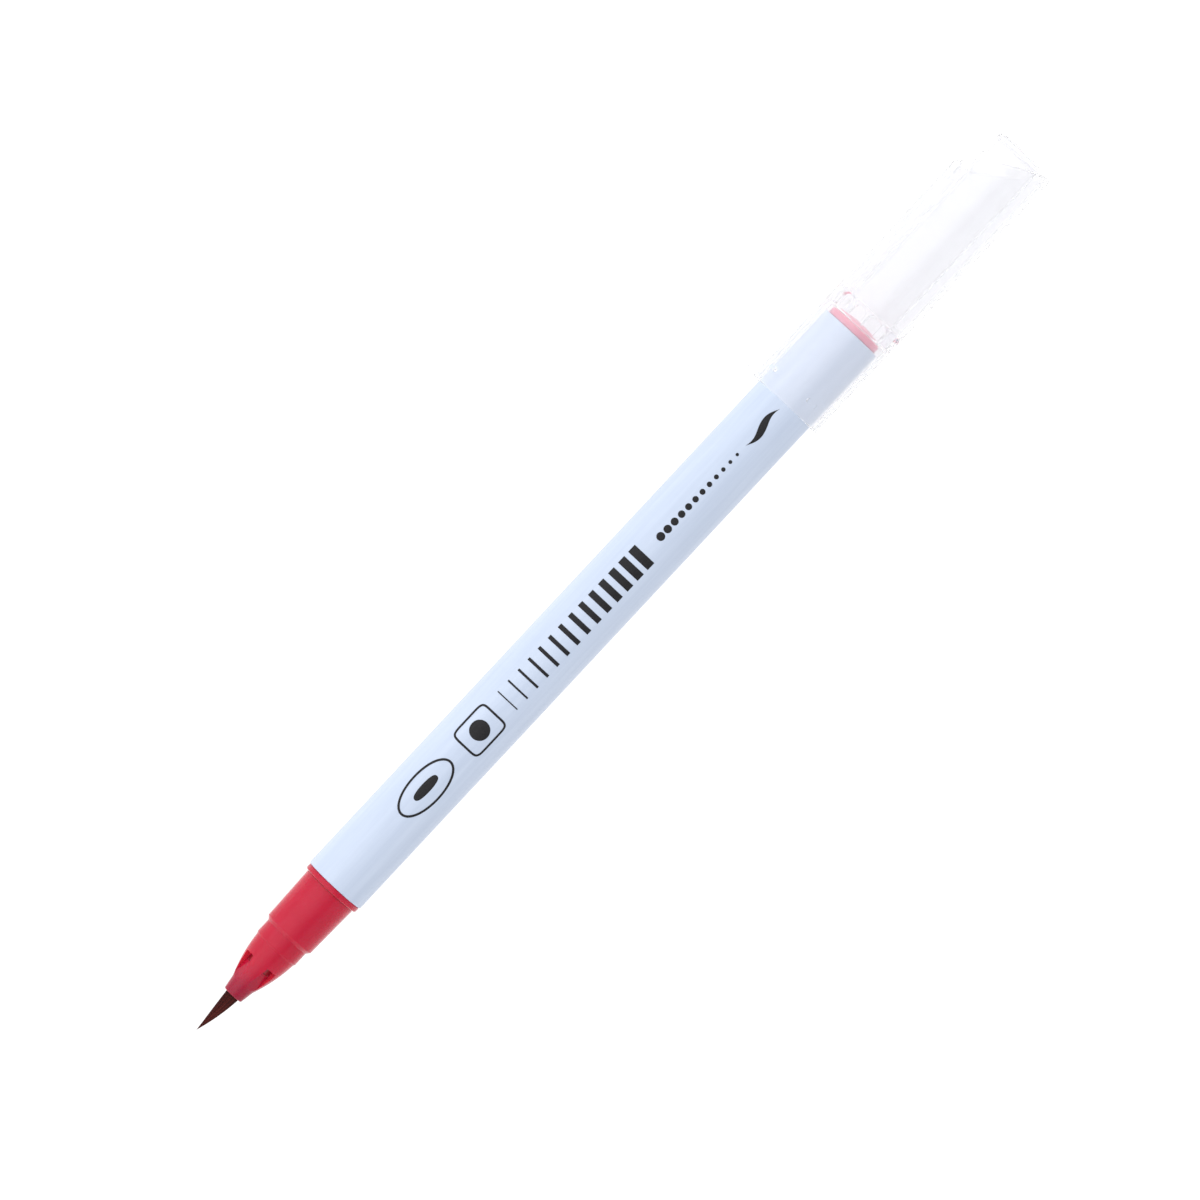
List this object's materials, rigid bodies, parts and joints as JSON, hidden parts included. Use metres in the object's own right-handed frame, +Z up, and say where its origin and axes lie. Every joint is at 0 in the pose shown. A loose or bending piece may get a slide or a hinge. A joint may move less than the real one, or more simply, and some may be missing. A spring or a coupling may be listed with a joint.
{
  "type": "brush pen",
  "caption": "Slim fibre-fed brush pen with a white barrel, red translucent front section and plug, and a clear finned cap posted on its rear.",
  "frame": {"origin": "on the surface that the pen lies on, under the middle of its length with the cap posted", "axes": "+X along the pen's axis from the bristle tip to the capped rear, +Z up, the cap's fin down on the +Y side"},
  "size_m": [0.1686, 0.0118, 0.0119],
  "materials": {
    "barrel_plastic": "satin, faintly blue white polypropylene",
    "red_clear_plastic": "glossy, translucent red",
    "clear_plastic": "clear and polished",
    "bristle_nylon": "ink-stained nylon bristles",
    "holder_plastic": "dark maroon, moulded",
    "fibre": "bonded fibre rod, inked",
    "inked_fibre": "ink-soaked wadding",
    "film": "thin clear film"
  },
  "bodies": {
    "pen": {"barrel": "barrel_plastic", "front_section": "red_clear_plastic", "brush_holder": "holder_plastic", "bristle_root": "bristle_nylon", "ink_relay": "fibre", "reservoir_core": "inked_fibre", "reservoir_film": "film", "rear_plug": "red_clear_plastic"},
    "tuft": {"bristle_tuft": "bristle_nylon"},
    "cap": {"cap_shell": "clear_plastic", "inner_cap": "clear_plastic"}
  },
  "joints": [
    {"name": "brush_flex", "type": "hinge", "parent": "pen", "child": "tuft", "pos_m": [-0.07735, 0, 0.00595], "axis": [0, 0, 1], "range_deg": [-25, 25], "stiffness_Nm_per_rad": 0.0008},
    {"name": "cap_slide", "type": "slide", "parent": "pen", "child": "cap", "axis": [1, 0, 0], "range_m": [0, 0.02]}
  ]
}
